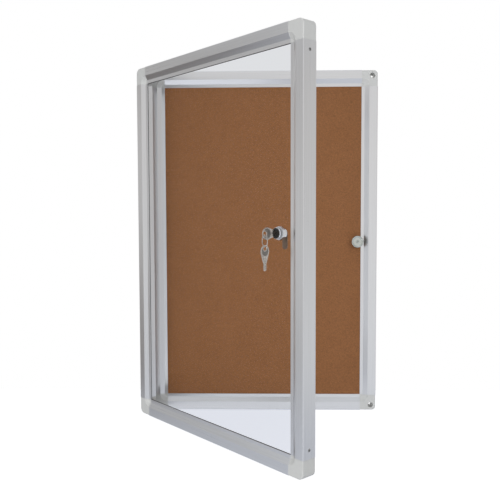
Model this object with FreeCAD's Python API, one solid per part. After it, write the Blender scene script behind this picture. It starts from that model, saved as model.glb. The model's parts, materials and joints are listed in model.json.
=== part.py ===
import FreeCAD, Part
import math
import os

# Lockable notice board: a wall-mounted cork board in an extruded frame, with a glazed door
# hinged on the left, a cam lock through the pane and two keys on a ring.
# Millimetres. X runs to the viewer's right, Z up, and the front faces -Y.
# The origin is the middle of the rear plane, which lies against the wall.
# The door and all that it carries are built closed, then swung open by door_angle.

Vec = FreeCAD.Vector

# Overall sizes.
board_width = 600.0
board_height = 900.0
frame_depth = 20.0
door_depth = 35.0
door_gap = 1.0
door_angle = 47.4

# Section shared by the frame and the door: a hollow box, a bevel and a flat lip.
box_width = 22.0
bevel_width = 11.4
bevel_depth = 6.6
lip_width = 8.2
wall = 1.5
flange_reach = 12.0
front_edge_radius = 2.0

# Cork board.
cork_thickness = 3.0
backing_thickness = 6.0
board_edge = 24.0
board_clearance = 0.2

# Glazing.
pane_thickness = 3.0
gasket_fin = 0.8
gasket_web = 1.2
gasket_edge = 25.6
gasket_reveal = 1.0
gasket_rear_reach = 9.0

# Moulded corners.
corner_inset = 0.8
corner_bevel = 1.4
door_corner_radius = 13.0
frame_corner_radius = 10.0
tongue_length = 32.0
tongue_clearance = 0.2
tongue_wall = 2.5
tongue_root = 4.0
corner_wall = 2.0
corner_face = 3.0
groove_clearance = 0.5

# Wall fixing holes in the frame corners.
fixing_inset = 14.0
fixing_hole_radius = 3.0
fixing_bore_radius = 7.0
fixing_bore_depth = 14.0
fixing_boss_wall = 2.0

# Countersunk screws.
corner_screw_radius = 2.1
corner_screw_length = 9.0
corner_screw_reach = 18.0
hinge_screw_radius = 1.5
hinge_screw_head_radius = 3.0
hinge_screw_length = 7.0
screw_fit = 0.05
screw_sides = 8

# Hinges on the left side faces.
hinge_end_distance = 150.0
hinge_length = 60.0
hinge_centre_knuckle = 24.0
knuckle_radius = 3.0
hinge_pin_radius = 1.5
hinge_running_fit = 0.05
knuckle_gap = 0.3
leaf_thickness = 1.5
leaf_width = 15.0
leaf_screw_spacing = 36.0
leaf_screw_setback = 9.0

# Cam lock through the pane.
lock_inset = 82.0
lock_height = 37.5
bezel_radius = 11.5
bezel_proud = 4.2
bezel_edge = 1.2
lock_washer = 0.8
lock_washer_radius = 10.8
barrel_radius = 9.0
barrel_flats = 16.0
barrel_length = 20.9
barrel_hole_clearance = 0.3
nut_across_flats = 25.0
nut_thickness = 8.5
nut_chamfer = 1.0
nut_fit = 0.05
rear_washer_radius = 13.5
plug_radius = 6.0
plug_head_radius = 7.5
plug_head_depth = 1.6
plug_running_fit = 0.05
plug_tail_width = 8.0
stop_plate_thickness = 0.8
stop_plate_radius = 7.6
stop_tab_reach = 9.6
stop_tab_width = 4.0
cam_thickness = 2.0
cam_width = 14.0
cam_length = 33.5
cam_fit = 0.1
cam_screw_head_radius = 5.0
cam_screw_head = 2.4
cam_screw_radius = 2.0
cam_screw_length = 8.0

# Keys.
key_thickness = 1.8
key_bow_radius = 12.5
key_bow_length = 36.0
key_neck_width = 10.0
key_blade_width = 8.0
key_blade_length = 16.0
key_notch_depth = 1.0
key_notch_pitch = 3.6
key_notches = 3
key_hole_radius = 4.2
key_hole_inset = 6.7
key_hole_bevel = 0.7
key_side_clearance = 0.15
key_edge_clearance = 0.2
key_end_clearance = 0.1
keyway_spare = 1.2

# Key ring, hanging in the bow holes.
ring_radius = 12.0
ring_wire_radius = 0.9
ring_drop = 2.35
ring_turn = -17.0
spare_gap = 0.3
spare_turn = 8.0

# Keeper on the cork board, which the cam tip turns in behind.
keeper_inset = 52.0
keeper_height = 2.5
keeper_radius = 16.0
keeper_head = 4.0
keeper_rim = 2.6
keeper_dish = 1.4
keeper_edge = 1.0
keeper_stem_radius = 7.0
keeper_stem_clearance = 0.4
keeper_cam_gap = 0.6
keeper_screw_radius = 2.0
keeper_screw_head_radius = 4.0
keeper_screw_fit = 0.15
keeper_screw_stop = 0.5

# How far a cut runs past the face it opens, and how closely an edge is picked by place.
past = 1.0
near = 0.01

# Values worked out from the sizes above.
sight_width = box_width + bevel_width + lip_width
lip_rear = bevel_depth + wall
sweep_radius = bevel_width + lip_width
frame_front = -frame_depth
door_rear = frame_front - door_gap
door_front = door_rear - door_depth
cork_front = frame_front + lip_rear
backing_front = cork_front + cork_thickness
frame_groove_rear = lip_rear + cork_thickness + backing_thickness + board_clearance
pane_front = lip_rear + gasket_fin
pane_rear = pane_front + pane_thickness
door_groove_rear = pane_rear + gasket_fin
pane_edge = gasket_edge + gasket_web
corner_screw_from_end = sight_width + corner_screw_reach
corner_screw_head_radius = corner_screw_radius + wall + tongue_clearance
hinge_reach = board_height / 2 - hinge_end_distance
hinge_heights = (-hinge_reach, hinge_reach)
hinge_x = -board_width / 2 - knuckle_radius
hinge_y = frame_front - door_gap / 2
lock_x = board_width / 2 - lock_inset
keeper_x = board_width / 2 - keeper_inset

# Depths along the lock, measured back from the door's front face.
bezel_rear = pane_front - lock_washer
bezel_front = bezel_rear - bezel_proud
nut_front = pane_rear + lock_washer
nut_rear = nut_front + nut_thickness
barrel_rear = bezel_rear + barrel_length
stop_plate_front = barrel_rear + plug_running_fit
cam_front = stop_plate_front + stop_plate_thickness
cam_rear = cam_front + cam_thickness
key_shoulder = bezel_front - key_end_clearance
key_tip = key_shoulder + key_blade_length
key_outer_end = key_shoulder - key_bow_length
key_hole_depth = key_outer_end + key_hole_inset

# Heights of the ring's wire where it passes through each key.
ring_top_z = lock_height - ring_drop
ring_centre_z = ring_top_z - ring_radius
ring_bottom_z = ring_centre_z - ring_radius
spare_hole_z = ring_bottom_z - (key_hole_radius - ring_wire_radius - spare_gap)

sides = ("left", "top", "right", "bottom")
corners = ("bottom_left", "top_left", "top_right", "bottom_right")


def rounded_wire(points, place):
    """Closed outline through (a, b, radius) points, each corner rounded by its radius.
    place(a, b) gives the point in space."""
    flat = [Vec(a, b, 0) for a, b, radius in points]
    stretches = []
    for i, (a, b, radius) in enumerate(points):
        corner = flat[i]
        if radius == 0:
            stretches.append((corner, corner, corner))
            continue
        back = (flat[i - 1] - corner).normalize()
        ahead = (flat[(i + 1) % len(flat)] - corner).normalize()
        half = back.getAngle(ahead) / 2
        middle = (back + ahead).normalize()
        centre = corner + middle * (radius / math.sin(half))
        cut = radius / math.tan(half)
        stretches.append((corner + back * cut, centre - middle * radius, corner + ahead * cut))
    edges = []
    for i, (start, middle, end) in enumerate(stretches):
        if (end - start).Length > near:
            edges.append(Part.Arc(*[place(p.x, p.y) for p in (start, middle, end)]).toShape())
        following = stretches[(i + 1) % len(stretches)][0]
        if (following - end).Length > near:
            edges.append(Part.LineSegment(place(end.x, end.y),
                                          place(following.x, following.y)).toShape())
    return Part.Wire(edges)


def front_plate(points, depth_from, depth_to):
    """Outline in the X-Z plane, extruded along Y."""
    wire = rounded_wire(points, lambda x, z: Vec(x, depth_from, z))
    return Part.Face(wire).extrude(Vec(0, depth_to - depth_from, 0))


def block(x_from, x_to, y_from, y_to, z_from, z_to):
    return Part.makeBox(x_to - x_from, y_to - y_from, z_to - z_from, Vec(x_from, y_from, z_from))


def rod(radius, start, end):
    direction = end - start
    return Part.makeCylinder(radius, direction.Length, start, direction)


def turned(profile):
    """Solid of revolution about the Y axis from (radius, y) points."""
    points = [Vec(radius, y, 0) for radius, y in profile]
    outline = Part.makePolygon(points + points[:1])
    return Part.Face(outline).revolve(Vec(0, 0, 0), Vec(0, 1, 0), 360)


def moved(shape, x, y, z):
    copy = shape.copy()
    copy.translate(Vec(x, y, z))
    return copy


def quarter_turned(shape, turns):
    """Left side to top, right and bottom as turns goes from 1 to 3."""
    copy = shape.copy()
    copy.rotate(Vec(0, 0, 0), Vec(0, 1, 0), 90 * turns)
    return copy


def swung(shape):
    """A closed-door shape, turned to where the door stands open."""
    copy = shape.copy()
    copy.rotate(Vec(hinge_x, hinge_y, 0), Vec(0, 0, 1), -door_angle)
    return copy


def write(name, shape):
    shape.exportStep("parts/" + name + ".step")


def half_across(turns):
    """Half the board's size from the turned side to the one opposite."""
    return board_width / 2 if turns % 2 == 0 else board_height / 2


def half_along(turns):
    return half_across(turns + 1)


def faceted(profile):
    """Small turned piece with flat sides, about the Y axis, through (radius, y) rings."""
    rings = []
    for radius, y in profile:
        angles = [2 * math.pi * (i + 0.5) / screw_sides for i in range(screw_sides)]
        rings.append([Vec(radius * math.cos(angle), y, radius * math.sin(angle))
                      for angle in angles])
    outlines = [rings[0], rings[-1]]
    for first, second in zip(rings, rings[1:]):
        outlines += [[first[i - 1], first[i], second[i], second[i - 1]]
                     for i in range(screw_sides)]
    faces = [Part.Face(Part.makePolygon(points + points[:1])) for points in outlines]
    return Part.Solid(Part.Shell(faces))


def countersunk_screw(radius, head_radius, length):
    """Screw with its head face at the origin and its shank along +Y."""
    return faceted([(head_radius, 0), (radius, head_radius - radius), (radius, length)])


def countersunk_hole(radius, head_radius, length, fit):
    """The space that a countersunk screw needs, with a radial fit."""
    return faceted([(head_radius + fit, -past), (head_radius + fit, 0),
                    (radius + fit, head_radius - radius), (radius + fit, length)])


def from_left(shape):
    """A shape along +Y, turned to run along +X, as into a left side face."""
    copy = shape.copy()
    copy.rotate(Vec(0, 0, 0), Vec(0, 0, 1), -90)
    return copy


def side_section(depth, groove_rear):
    """Section of one side: X is the distance in from the outer edge, Y the depth from the
    front face, with the hollow of the box cut out."""
    slope = bevel_depth / bevel_width
    drop = wall * math.hypot(bevel_width, bevel_depth) / bevel_width
    under_bevel = box_width + (lip_rear - drop) / slope
    outer = rounded_wire(
        [(0, 0, front_edge_radius),
         (box_width, 0, 0),
         (box_width + bevel_width, bevel_depth, 0),
         (sight_width, bevel_depth, 0),
         (sight_width, lip_rear, 0),
         (under_bevel, lip_rear, 0),
         (box_width, drop, 0),
         (box_width, groove_rear, 0),
         (box_width + flange_reach, groove_rear, 0),
         (box_width + flange_reach, groove_rear + wall, 0),
         (box_width, groove_rear + wall, 0),
         (box_width, depth, 0),
         (0, depth, 0)],
        lambda x, y: Vec(x, y, 0))
    hollow = rounded_wire(
        [(wall, wall, 0),
         (box_width - wall, wall, 0),
         (box_width - wall, depth - wall, 0),
         (wall, depth - wall, 0)],
        lambda x, y: Vec(x, y, 0))
    return Part.Face(outer).cut(Part.Face(hollow)).Faces[0]


def side_screw_places(turns, depth):
    """Where the corner screws enter one side, before it is turned."""
    reach = half_along(turns) - corner_screw_from_end
    return [Vec(-half_across(turns), depth / 2, end * reach) for end in (-1, 1)]


def side_bar(turns, depth, groove_rear):
    """One extrusion, built as the left side, front face at Y = 0. Only the stiles, which take
    an even number of turns, have screws through them into the corner tongues."""
    length = 2 * (half_along(turns) - sight_width)
    bar = side_section(depth, groove_rear).extrude(Vec(0, 0, length))
    bar.translate(Vec(-half_across(turns), 0, -length / 2))
    if turns % 2 == 1:
        return bar
    hole = from_left(countersunk_hole(corner_screw_radius, corner_screw_head_radius,
                                      corner_screw_length, screw_fit))
    cuts = [moved(hole, place.x, place.y, place.z) for place in side_screw_places(turns, depth)]
    return bar.cut(cuts)


def side_screws(depth):
    """The screws that hold the corner tongues, two to each stile."""
    screw = from_left(countersunk_screw(corner_screw_radius, corner_screw_head_radius,
                                        corner_screw_length))
    screws = []
    for turns in (0, 2):
        for place in side_screw_places(turns, depth):
            screws.append(quarter_turned(moved(screw, place.x, place.y, place.z), turns))
    return screws


def tongue(depth, screwed):
    """Hollow tongue along +X that fills the box of the next extrusion. The one in a stile
    has a pilot hole for its screw."""
    margin = wall + tongue_clearance
    across = (margin, box_width - margin)
    outer = block(sight_width, sight_width + tongue_length, margin, depth - margin, *across)
    inner = block(sight_width + tongue_root, sight_width + tongue_length + past,
                  margin + tongue_wall, depth - margin - tongue_wall,
                  across[0] + tongue_wall, across[1] - tongue_wall)
    if not screwed:
        return outer.cut(inner)
    pilot_radius = corner_screw_radius + screw_fit
    pilot = faceted([(pilot_radius, 0), (pilot_radius, corner_screw_length)])
    pilot.rotate(Vec(0, 0, 0), Vec(1, 0, 0), 90)
    return outer.cut([inner, moved(pilot, corner_screw_from_end, depth / 2, 0)])


def mirrored_leg(shape):
    """The same shape along the corner's other leg, X and Z exchanged."""
    return shape.mirror(Vec(0, 0, 0), Vec(1, 0, -1))


def corner_outline(margin, reach, radius):
    return [(margin, margin, radius), (reach, margin, 0), (reach, reach, 0), (margin, reach, 0)]


def corner_piece(turns, depth, radius, groove_rear, groove_edge, open_back):
    """Moulded corner with its outer corner at the origin, legs along +X and +Z. Its front
    sweeps the bevel and lip of the extrusions round the corner of the opening."""
    body = front_plate(corner_outline(corner_inset, sight_width, radius), 0, depth)
    rims = [edge for edge in body.Edges
            if edge.BoundBox.YMax < near
            and min(edge.BoundBox.XMin, edge.BoundBox.ZMin) < corner_inset + near
            and max(edge.BoundBox.XMin, edge.BoundBox.ZMin) < sight_width - near]
    body = body.makeChamfer(corner_bevel, rims)

    run_out = bevel_width / bevel_depth
    profile = [(0, -past), (sweep_radius + past * run_out, -past), (lip_width, bevel_depth),
               (0, bevel_depth)]
    sweep = moved(turned(profile), sight_width, 0, sight_width)
    reach = sight_width + past
    groove = block(groove_edge, reach, lip_rear, groove_rear, groove_edge, reach)
    flange_end = box_width + flange_reach
    past_flange = block(flange_end, reach, lip_rear, depth + past, flange_end, reach)
    behind_flange = block(box_width, reach, groove_rear + wall, depth + past, box_width,
                          reach)
    body = body.cut([sweep, groove, past_flange, behind_flange])

    if open_back:
        margin = corner_inset + corner_wall
        pocket = front_plate(corner_outline(margin, sight_width - corner_wall,
                                            radius - corner_wall), corner_face, depth + past)
        inside = box_width - corner_wall
        deep = depth + 2 * past
        keep = block(inside, sight_width, 0, deep, inside, sight_width)
        boss_from = fixing_inset - fixing_bore_radius - fixing_boss_wall
        boss_to = fixing_inset + fixing_bore_radius + fixing_boss_wall
        boss = block(boss_from, boss_to, 0, deep, boss_from, boss_to)
        body = body.cut(pocket.cut([keep, boss]))
        bore = rod(fixing_bore_radius, Vec(fixing_inset, -past, fixing_inset),
                   Vec(fixing_inset, fixing_bore_depth, fixing_inset))
        hole = rod(fixing_hole_radius, Vec(fixing_inset, 0, fixing_inset),
                   Vec(fixing_inset, deep, fixing_inset))
        body = body.cut([bore, hole])

    level_leg = tongue(depth, turns % 2 == 1)
    upright_leg = mirrored_leg(tongue(depth, turns % 2 == 0))
    return body.fuse([level_leg, upright_leg]).removeSplitter()


def corner_in_place(piece, turns, front):
    return quarter_turned(moved(piece, -half_across(turns), front, -half_along(turns)), turns)


def panel(edge, depth_from, depth_to):
    """Flat sheet whose edges lie the given distance in from the board's outer edges."""
    return block(-board_width / 2 + edge, board_width / 2 - edge, depth_from, depth_to,
                 -board_height / 2 + edge, board_height / 2 - edge)


def gasket_strip(turns):
    """Channel round one edge of the pane, mitred at both ends."""
    front_reach = sight_width + gasket_reveal
    rear_reach = gasket_edge + gasket_rear_reach
    section = rounded_wire(
        [(gasket_edge, lip_rear, 0),
         (front_reach, lip_rear, 0),
         (front_reach, pane_front, 0),
         (pane_edge, pane_front, 0),
         (pane_edge, pane_rear, 0),
         (rear_reach, pane_rear, 0),
         (rear_reach, door_groove_rear, 0),
         (gasket_edge, door_groove_rear, 0)],
        lambda x, y: Vec(x, y, -half_along(turns)))
    strip = Part.Face(section).extrude(Vec(0, 0, 2 * half_along(turns)))
    limit = half_along(turns)
    mitre = front_plate([(gasket_edge, gasket_edge - limit, 0),
                         (front_reach, front_reach - limit, 0),
                         (front_reach, limit - front_reach, 0),
                         (gasket_edge, limit - gasket_edge, 0)], 0, door_depth)
    strip = moved(strip.common(mitre), -half_across(turns), 0, 0)
    return quarter_turned(strip, turns)


def leaf_screw_heights(height):
    return [height + end * leaf_screw_spacing / 2 for end in (-1, 1)]


def hinge_leaf(height, towards, knuckles, bore_radius):
    """Hinge leaf on a left side face: towards is +1 for the frame's leaf and -1 for the
    door's, and knuckles gives the height span of each knuckle that it carries."""
    face_x = -board_width / 2
    edge_y = hinge_y + towards * (knuckle_radius + knuckle_gap)
    far_y = hinge_y + towards * (door_gap / 2 + leaf_width)
    low, high = height - hinge_length / 2, height + hinge_length / 2
    leaf = block(face_x - leaf_thickness, face_x, min(edge_y, far_y), max(edge_y, far_y),
                 low, high)
    for start, end in knuckles:
        tab = block(face_x - leaf_thickness, face_x, min(hinge_y, edge_y), max(hinge_y, edge_y),
                    start, end)
        barrel = rod(knuckle_radius, Vec(hinge_x, hinge_y, start), Vec(hinge_x, hinge_y, end))
        leaf = leaf.fuse([tab, barrel])
    bore = rod(bore_radius, Vec(hinge_x, hinge_y, low - past),
               Vec(hinge_x, hinge_y, high + past))
    screw_y = hinge_y + towards * (door_gap / 2 + leaf_screw_setback)
    hole = from_left(countersunk_hole(hinge_screw_radius, hinge_screw_head_radius,
                                      leaf_thickness + past, screw_fit))
    holes = [moved(hole, face_x - leaf_thickness, screw_y, z) for z in leaf_screw_heights(height)]
    return leaf.cut([bore] + holes).removeSplitter()


def leaf_screw_places(towards):
    screw_y = hinge_y + towards * (door_gap / 2 + leaf_screw_setback)
    return [Vec(-board_width / 2 - leaf_thickness, screw_y, z)
            for height in hinge_heights for z in leaf_screw_heights(height)]


def leaf_screws(towards):
    screw = from_left(countersunk_screw(hinge_screw_radius, hinge_screw_head_radius,
                                        hinge_screw_length))
    return [moved(screw, place.x, place.y, place.z) for place in leaf_screw_places(towards)]


def leaf_screw_cuts(towards):
    """Holes in a left stile for the hinge screws."""
    shank = hinge_screw_radius + screw_fit
    hole = from_left(faceted([(shank, 0), (shank, hinge_screw_length)]))
    return [moved(hole, place.x, place.y, place.z) for place in leaf_screw_places(towards)]


def build_frame():
    """The frame on the wall, with its board and keeper."""
    for turns, side in enumerate(sides):
        bar = moved(side_bar(turns, frame_depth, frame_groove_rear), 0, frame_front, 0)
        bar = quarter_turned(bar, turns)
        if side == "left":
            bar = bar.cut(leaf_screw_cuts(1))
        kind = "_stile" if turns % 2 == 0 else "_rail"
        write("frame_" + side + kind, bar)

    for turns, corner in enumerate(corners):
        piece = corner_piece(turns, frame_depth, frame_corner_radius, frame_groove_rear,
                             board_edge - groove_clearance, True)
        write("frame_corner_" + corner, corner_in_place(piece, turns, frame_front))
    screws = [moved(screw, 0, frame_front, 0) for screw in side_screws(frame_depth)]
    write("frame_corner_screws", Part.makeCompound(screws))

    stem_hole = rod(keeper_stem_radius + keeper_stem_clearance,
                    Vec(keeper_x, cork_front - past, keeper_height),
                    Vec(keeper_x, backing_front, keeper_height))
    write("cork_sheet", panel(board_edge, cork_front, backing_front).cut(stem_hole))
    backing_rear = backing_front + backing_thickness
    screw_hole = faceted([(keeper_screw_radius, backing_front - past),
                          (keeper_screw_radius, backing_rear - keeper_screw_stop)])
    screw_hole = moved(screw_hole, keeper_x, 0, keeper_height)
    write("backing_board", panel(board_edge, backing_front, backing_rear).cut(screw_hole))


def build_keeper():
    """Mushroom-shaped keeper screwed to the backing board through the cork."""
    head_rear = door_front + cam_front - keeper_cam_gap
    head_front = head_rear - keeper_head
    dish = keeper_radius - keeper_rim
    screw_seat = head_front + keeper_dish
    body = turned([(0, screw_seat), (dish - keeper_dish, screw_seat), (dish, head_front),
                   (keeper_radius - keeper_edge, head_front), (keeper_radius, head_rear),
                   (keeper_stem_radius, head_rear), (keeper_stem_radius, backing_front),
                   (0, backing_front)])
    reach = backing_front - screw_seat
    hole = countersunk_hole(keeper_screw_radius, keeper_screw_head_radius, reach + past,
                            keeper_screw_fit)
    body = body.cut(moved(hole, 0, screw_seat, 0))
    write("keeper", moved(body, keeper_x, 0, keeper_height))
    length = reach + backing_thickness - keeper_screw_stop
    screw = countersunk_screw(keeper_screw_radius, keeper_screw_head_radius, length)
    write("keeper_screw", moved(screw, keeper_x, screw_seat, keeper_height))


def build_hinges():
    """Butt hinges with their leaves on the left side faces and their pins in the frame's
    knuckles."""
    frame_leaves, door_leaves, pins = [], [], []
    middle = hinge_centre_knuckle / 2
    running_bore = hinge_pin_radius + hinge_running_fit
    for height in hinge_heights:
        low, high = height - hinge_length / 2, height + hinge_length / 2
        frame_spans = [(low, height - middle - knuckle_gap), (height + middle + knuckle_gap, high)]
        door_spans = [(height - middle, height + middle)]
        frame_leaves.append(hinge_leaf(height, 1, frame_spans, hinge_pin_radius))
        door_leaves.append(hinge_leaf(height, -1, door_spans, running_bore))
        pins.append(rod(hinge_pin_radius, Vec(hinge_x, hinge_y, low), Vec(hinge_x, hinge_y, high)))
    write("hinge_frame_leaves", Part.makeCompound(frame_leaves))
    write("hinge_door_leaves", swung(Part.makeCompound(door_leaves)))
    write("hinge_pins", Part.makeCompound(pins))
    write("hinge_frame_screws", Part.makeCompound(leaf_screws(1)))
    write("hinge_door_screws", swung(Part.makeCompound(leaf_screws(-1))))


def at_lock(shape):
    """A shape built about the lock's axis, with Y measured from the door's front face."""
    return swung(moved(shape, lock_x, door_front, lock_height))


def barrel_section(radius, flats, depth_from, depth_to):
    """Round barrel with two flats, one on each side of the vertical."""
    barrel = rod(radius, Vec(0, depth_from, 0), Vec(0, depth_to, 0))
    return barrel.common(block(-flats / 2, flats / 2, depth_from, depth_to, -radius, radius))


def build_door():
    """The door's frame and glazing."""
    for turns, side in enumerate(sides):
        bar = side_bar(turns, door_depth, door_groove_rear)
        bar = quarter_turned(moved(bar, 0, door_front, 0), turns)
        if side == "left":
            bar = bar.cut(leaf_screw_cuts(-1))
        kind = "_stile" if turns % 2 == 0 else "_rail"
        write("door_" + side + kind, swung(bar))

    for turns, corner in enumerate(corners):
        piece = corner_piece(turns, door_depth, door_corner_radius, door_groove_rear,
                             gasket_edge - groove_clearance, False)
        write("door_corner_" + corner, swung(corner_in_place(piece, turns, door_front)))
    screws = [moved(screw, 0, door_front, 0) for screw in side_screws(door_depth)]
    write("door_corner_screws", swung(Part.makeCompound(screws)))

    pane = panel(pane_edge, pane_front, pane_rear)
    hole = barrel_section(barrel_radius + barrel_hole_clearance,
                          barrel_flats + 2 * barrel_hole_clearance, pane_front - past,
                          pane_rear + past)
    pane = pane.cut(moved(hole, lock_x, 0, lock_height))
    write("pane", swung(moved(pane, 0, door_front, 0)))
    for turns, side in enumerate(sides):
        write("gasket_" + side, swung(moved(gasket_strip(turns), 0, door_front, 0)))


def washer(outer_radius, depth_from, thickness):
    ring = rod(outer_radius, Vec(0, depth_from, 0), Vec(0, depth_from + thickness, 0))
    return ring.cut(barrel_section(barrel_radius + barrel_hole_clearance,
                                   barrel_flats + 2 * barrel_hole_clearance,
                                   depth_from - past, depth_from + thickness + past))


def build_lock():
    """Cam lock clamped in the pane, its turning plug, stop plate and cam."""
    bore = plug_radius + plug_running_fit
    head_bore = plug_head_radius + plug_running_fit
    bezel = turned([(0, bezel_front), (bezel_radius - bezel_edge, bezel_front),
                    (bezel_radius, bezel_front + bezel_edge), (bezel_radius, bezel_rear),
                    (0, bezel_rear)])
    barrel = barrel_section(barrel_radius, barrel_flats, bezel_rear, barrel_rear)
    space = turned([(0, bezel_front - past), (head_bore, bezel_front - past),
                    (head_bore, bezel_front + plug_head_depth + plug_running_fit),
                    (bore, bezel_front + plug_head_depth + plug_running_fit),
                    (bore, barrel_rear + past), (0, barrel_rear + past)])
    write("lock_barrel", at_lock(bezel.fuse(barrel).cut(space).removeSplitter()))
    write("lock_front_washer", at_lock(washer(lock_washer_radius, bezel_rear, lock_washer)))
    write("lock_rear_washer", at_lock(washer(rear_washer_radius, pane_rear, lock_washer)))

    corner_radius = nut_across_flats / math.sqrt(3)
    hexagon = [(corner_radius * math.sin(math.radians(60 * i)),
                corner_radius * math.cos(math.radians(60 * i)), 0) for i in range(6)]
    nut = front_plate(hexagon, nut_front, nut_rear)
    facing = turned([(0, nut_front), (corner_radius, nut_front),
                     (corner_radius, nut_rear - nut_chamfer),
                     (corner_radius - 2 * nut_chamfer, nut_rear), (0, nut_rear)])
    nut_bore = rod(barrel_radius + nut_fit, Vec(0, nut_front - past, 0),
                   Vec(0, nut_rear + past, 0))
    write("lock_nut", at_lock(nut.common(facing).cut(nut_bore)))

    plug = turned([(0, bezel_front), (plug_head_radius, bezel_front),
                   (plug_head_radius, bezel_front + plug_head_depth),
                   (plug_radius, bezel_front + plug_head_depth), (plug_radius, stop_plate_front),
                   (0, stop_plate_front)])
    tail = plug_tail_width / 2
    plug = plug.fuse(block(-tail, tail, stop_plate_front - past, cam_rear, -tail, tail))
    slot_half = key_thickness / 2 + key_side_clearance
    slot_reach = key_blade_width / 2 + key_edge_clearance
    keyway = block(-slot_half, slot_half, bezel_front - past, key_tip + keyway_spare,
                   -slot_reach, slot_reach)
    screw_bore = faceted([(cam_screw_radius, cam_rear - cam_screw_length),
                          (cam_screw_radius, cam_rear + past)])
    write("lock_plug", at_lock(plug.cut([keyway, screw_bore]).removeSplitter()))

    socket = tail + cam_fit
    square = block(-socket, socket, stop_plate_front - past, cam_rear + past, -socket, socket)
    plate = rod(stop_plate_radius, Vec(0, stop_plate_front, 0), Vec(0, cam_front, 0))
    tab = block(-stop_tab_width / 2, stop_tab_width / 2, stop_plate_front, cam_front,
                0, stop_tab_reach)
    write("lock_stop_plate", at_lock(plate.fuse(tab).cut(square).removeSplitter()))

    half = cam_width / 2
    cam = front_plate([(-half, half, half), (half, half, half),
                       (half, -cam_length, half), (-half, -cam_length, half)],
                      cam_front, cam_rear)
    write("lock_cam", at_lock(cam.cut(square)))

    head_rear = cam_rear + cam_screw_head
    head_edge = cam_rear + cam_screw_head / 2
    cam_screw = faceted([(cam_screw_radius, cam_rear - cam_screw_length),
                         (cam_screw_radius, cam_rear), (cam_screw_head_radius, cam_rear),
                         (cam_screw_head_radius, head_edge),
                         (cam_screw_head_radius - cam_screw_head / 2, head_rear)])
    write("cam_screw", at_lock(cam_screw))


def key_shape():
    """Flat key with its shoulder at the origin, its blade along +Y and its bow along -Y."""
    bow_y = key_bow_radius - key_bow_length
    neck = key_neck_width / 2
    reach = math.hypot(bow_y, neck)
    lean = math.atan2(neck, -bow_y) + math.acos(key_bow_radius / reach)
    touch_y = bow_y + key_bow_radius * math.cos(lean)
    touch_z = key_bow_radius * math.sin(lean)
    half = key_blade_width / 2
    upper_edge = [(0, neck), (0, half)]
    for i in range(key_notches):
        notch = key_notch_pitch * (i + 1)
        upper_edge += [(notch - key_notch_depth, half), (notch, half - key_notch_depth),
                       (notch + key_notch_depth, half)]
    upper_edge += [(key_blade_length - half / 2, half), (key_blade_length, half / 2)]
    lower_edge = [(y, -z) for y, z in reversed(upper_edge)]
    x = -key_thickness / 2
    path = [Vec(x, touch_y, touch_z)] + [Vec(x, y, z) for y, z in upper_edge + lower_edge]
    path.append(Vec(x, touch_y, -touch_z))
    edges = [Part.LineSegment(a, b).toShape() for a, b in zip(path, path[1:])]
    edges.append(Part.Arc(path[-1], Vec(x, -key_bow_length, 0), path[0]).toShape())
    body = Part.Face(Part.Wire(edges)).extrude(Vec(key_thickness, 0, 0))
    hole_y = key_hole_inset - key_bow_length
    hole = rod(key_hole_radius, Vec(x - past, hole_y, 0), Vec(past - x, hole_y, 0))
    wide = key_hole_radius + key_hole_bevel
    bevels = [Part.makeCone(wide, key_hole_radius, key_hole_bevel, Vec(end * x, hole_y, 0),
                            Vec(-end * x, 0, 0)) for end in (-1, 1)]
    return body.cut([hole] + bevels)


def build_keys():
    """Key in the lock, with the spare hanging from it on a ring."""
    key = key_shape()
    write("key", at_lock(moved(key, 0, key_shoulder, 0)))

    ring_section = [(ring_radius + ring_wire_radius * math.cos(math.radians(angle)),
                     ring_wire_radius * math.sin(math.radians(angle)))
                    for angle in range(0, 360, 60)]
    ring = turned(ring_section)
    ring.rotate(Vec(0, 0, 0), Vec(0, 0, 1), ring_turn)
    write("key_ring", at_lock(moved(ring, 0, key_hole_depth, ring_centre_z - lock_height)))

    spare = moved(key, 0, key_bow_length - key_hole_inset, 0)
    spare.rotate(Vec(0, 0, 0), Vec(1, 0, 0), -90)
    spare.rotate(Vec(0, 0, 0), Vec(0, 0, 1), spare_turn)
    write("spare_key", at_lock(moved(spare, 0, key_hole_depth, spare_hole_z - lock_height)))


os.makedirs("parts", exist_ok=True)
build_frame()
build_keeper()
build_hinges()
build_door()
build_lock()
build_keys()
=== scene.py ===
"""Lockable notice board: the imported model's frame, door, lock and keys, with the materials and
the fine pieces that the photograph shows. Metres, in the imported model's own frame: X to the
right, +Y into the wall, Z up. The door stands open at rest."""

import json
import math

import bmesh
import bpy
from mathutils import Matrix, Vector


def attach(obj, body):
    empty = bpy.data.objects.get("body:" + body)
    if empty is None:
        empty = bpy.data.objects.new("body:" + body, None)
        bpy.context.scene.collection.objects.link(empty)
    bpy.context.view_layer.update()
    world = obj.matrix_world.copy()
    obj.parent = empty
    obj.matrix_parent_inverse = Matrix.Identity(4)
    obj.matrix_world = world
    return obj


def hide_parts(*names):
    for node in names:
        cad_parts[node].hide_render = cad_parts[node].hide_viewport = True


# Photograph's camera, fitted to the board's corners.
CAMERA_PLACE = (0.00638, -1.72727, 0.07876)
CAMERA_PITCH = math.radians(3.289)
CAMERA_YAW = math.radians(-1.394)
CAMERA_ROLL = math.radians(-0.181)
CAMERA_NEAR = 0.01
FOCAL_OVER_WIDTH = 643.934 / 500
SENSOR_WIDTH = 36.0

# Lamps: name, place, width and height, power in watts. Metal and glass don't show them.
LAMPS = [("key", (1.3, -3.2, 1.2), (3.0, 3.0), 41),
         ("left_fill", (-1.7, -2.9, 0.0), (1.8, 2.2), 34)]
LAMP_TARGET = (0, -0.1, 0)

# Room that the metal mirrors. At the ambient strength it also lights the object.
AMBIENT = 0.50
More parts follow.
